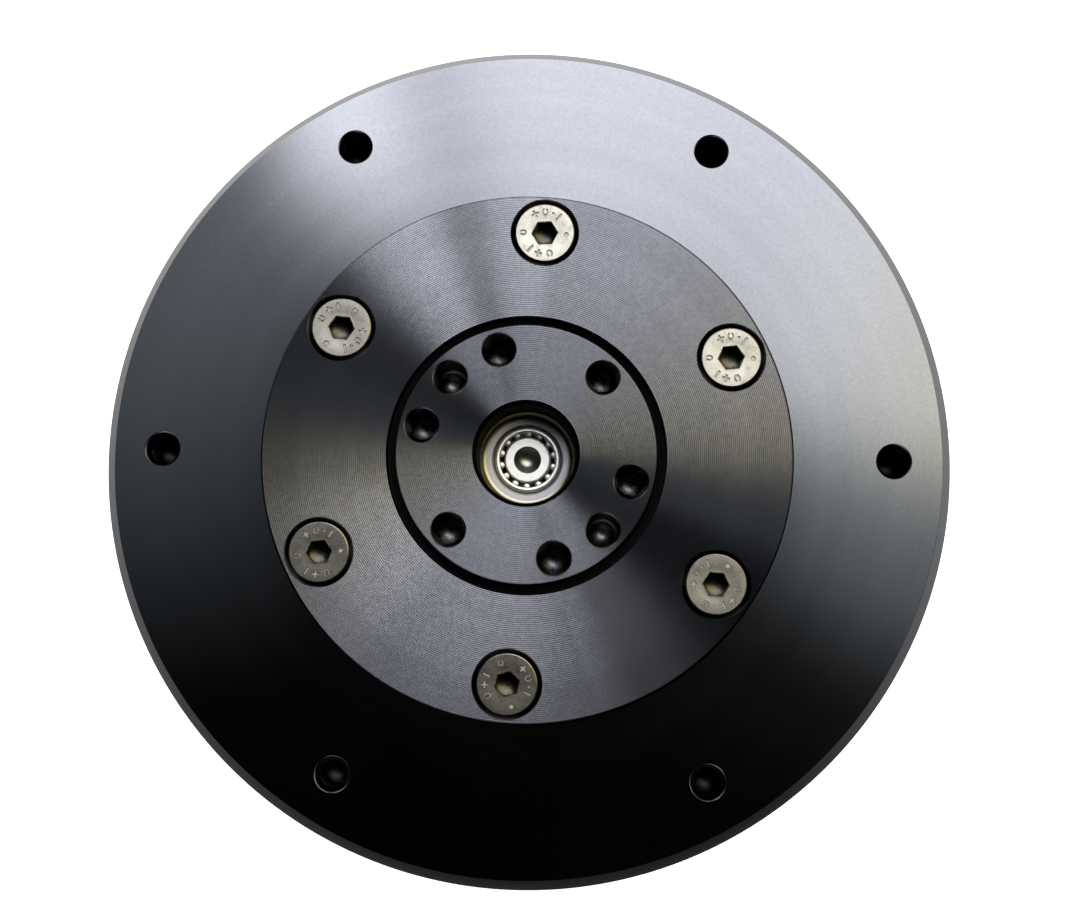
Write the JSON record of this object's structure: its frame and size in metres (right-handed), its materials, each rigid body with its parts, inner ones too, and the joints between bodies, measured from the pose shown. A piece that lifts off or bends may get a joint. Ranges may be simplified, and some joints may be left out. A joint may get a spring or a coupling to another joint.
{
  "type": "robot joint actuator",
  "caption": "Flat round joint actuator: outrunner motor with a planetary gearbox inside its stator, a flanged front face and a drilled rotating output disc.",
  "frame": {"origin": "on the output axis, in the flat rear face that the actuator stands on", "axes": "+Z along the output axis, out of the output disc; the sockets face -Y"},
  "size_m": [0.079, 0.079, 0.0395],
  "materials": {
    "housing_anodised": "satin black anodised, turned",
    "cap_anodised": "black anodised, fine turned",
    "disc_anodised": "black anodised, fine turned",
    "rear_anodised": "satin black anodised",
    "screw_nickel": "nickel plated steel",
    "screw_black": "black oxide steel",
    "gear_steel": "ground alloy steel",
    "bearing_steel": "polished bearing steel",
    "cage_steel": "pressed steel",
    "machined_aluminium": "machined",
    "bronze": "sintered bronze",
    "electrical_steel": "stacked laminations",
    "copper_wire": "enamelled copper",
    "magnet_nickel": "nickel plated magnets",
    "yoke_steel": "turned steel",
    "insulator": "moulded nylon",
    "lead_sleeve": "silicone sleeve",
    "board_green": "solder mask",
    "chip_black": "moulded epoxy",
    "ceramic_tan": "fired ceramic",
    "capacitor_sleeve": "shrink sleeve",
    "pad_grey": "silicone pad",
    "seal_rubber": "nitrile rubber",
    "socket_amber": "moulded nylon",
    "socket_ivory": "moulded nylon",
    "pin_gold": "gold flash",
    "lens_clear": "clear acrylic"
  },
  "bodies": {
    "housing": {"front_housing": "housing_anodised", "front_bearing_cap": "cap_anodised", "cap_screws": "screw_nickel", "output_seal": "seal_rubber", "ring_gear": "gear_steel", "output_bearing_outer_ring": "bearing_steel", "carrier_bearing_outer_ring": "bearing_steel", "rotor_bearing_outer_ring": "bearing_steel", "stator_core": "electrical_steel", "stator_insulators": "insulator", "stator_windings": "copper_wire", "phase_leads": "lead_sleeve", "rear_housing": "rear_anodised", "housing_screws": "screw_black", "bearing_retaining_ring": "screw_black", "rear_cover": "rear_anodised", "status_lens": "lens_clear", "rear_cover_screws": "screw_black", "driver_board": "board_green", "board_screws": "screw_nickel", "power_transistors": "chip_black", "thermal_pad": "pad_grey", "control_chips": "chip_black", "ceramic_capacitors": "ceramic_tan", "encoder_chip": "chip_black", "bulk_capacitors": "capacitor_sleeve", "power_connector": "socket_amber", "can_connector": "socket_ivory", "uart_connector": "socket_ivory", "power_pins": "pin_gold", "signal_pins": "pin_gold"},
    "output": {"output_flange": "disc_anodised", "carrier_plate": "machined_aluminium", "carrier_screws": "screw_black", "planet_pins": "gear_steel", "planet_washers": "bronze", "output_bearing_inner_ring": "bearing_steel", "carrier_bearing_inner_ring": "bearing_steel", "needle_bearing_cup": "bearing_steel"},
    "rotor": {"sun_gear_shaft": "bearing_steel", "rotor_hub": "machined_aluminium", "rotor_web": "machined_aluminium", "rotor_yoke": "yoke_steel", "rotor_magnets": "magnet_nickel", "hub_screws": "screw_black", "encoder_magnet": "magnet_nickel", "rotor_bearing_inner_ring": "bearing_steel"},
    "planet_1": {"planet_gear_1": "gear_steel", "planet_bush_1": "bronze"},
    "planet_2": {"planet_gear_2": "gear_steel", "planet_bush_2": "bronze"},
    "planet_3": {"planet_gear_3": "gear_steel", "planet_bush_3": "bronze"},
    "needles": {"needle_rollers": "bearing_steel"},
    "output_bearing_set": {"output_bearing_balls": "bearing_steel", "output_bearing_cage": "cage_steel"},
    "carrier_bearing_set": {"carrier_bearing_balls": "bearing_steel", "carrier_bearing_cage": "cage_steel"},
    "rotor_bearing_set": {"rotor_bearing_balls": "bearing_steel", "rotor_bearing_cage": "cage_steel"}
  },
  "joints": [
    {"name": "rotor_spin", "type": "hinge", "parent": "housing", "child": "rotor", "pos_m": [0, 0, 0.02], "axis": [0, 0, 1], "continuous": true},
    {"name": "output_spin", "type": "hinge", "parent": "housing", "child": "output", "pos_m": [0, 0, 0.036], "axis": [0, 0, 1], "continuous": true},
    {"name": "planet_1_spin", "type": "hinge", "parent": "output", "child": "planet_1", "pos_m": [0.00866, 0.00246, 0.027], "axis": [0, 0, 1], "continuous": true},
    {"name": "planet_2_spin", "type": "hinge", "parent": "output", "child": "planet_2", "pos_m": [-0.00646, 0.00627, 0.027], "axis": [0, 0, 1], "continuous": true},
    {"name": "planet_3_spin", "type": "hinge", "parent": "output", "child": "planet_3", "pos_m": [-0.0022, -0.00873, 0.027], "axis": [0, 0, 1], "continuous": true},
    {"name": "needle_set_spin", "type": "hinge", "parent": "output", "child": "needles", "pos_m": [0, 0, 0.033], "axis": [0, 0, 1], "continuous": true},
    {"name": "output_bearing_set_spin", "type": "hinge", "parent": "housing", "child": "output_bearing_set", "pos_m": [0, 0, 0.034], "axis": [0, 0, 1], "continuous": true},
    {"name": "carrier_bearing_set_spin", "type": "hinge", "parent": "housing", "child": "carrier_bearing_set", "pos_m": [0, 0, 0.0188], "axis": [0, 0, 1], "continuous": true},
    {"name": "rotor_bearing_set_spin", "type": "hinge", "parent": "housing", "child": "rotor_bearing_set", "pos_m": [0, 0, 0.0104], "axis": [0, 0, 1], "continuous": true}
  ],
  "couplings": [
    {"joint": "output_spin", "follows": "rotor_spin", "ratio": 0.16667},
    {"joint": "planet_1_spin", "follows": "rotor_spin", "ratio": -0.41667},
    {"joint": "planet_2_spin", "follows": "rotor_spin", "ratio": -0.41667},
    {"joint": "planet_3_spin", "follows": "rotor_spin", "ratio": -0.41667},
    {"joint": "needle_set_spin", "follows": "rotor_spin", "ratio": 0.3597},
    {"joint": "output_bearing_set_spin", "follows": "rotor_spin", "ratio": 0.077778},
    {"joint": "carrier_bearing_set_spin", "follows": "rotor_spin", "ratio": 0.076596},
    {"joint": "rotor_bearing_set_spin", "follows": "rotor_spin", "ratio": 0.40833}
  ]
}
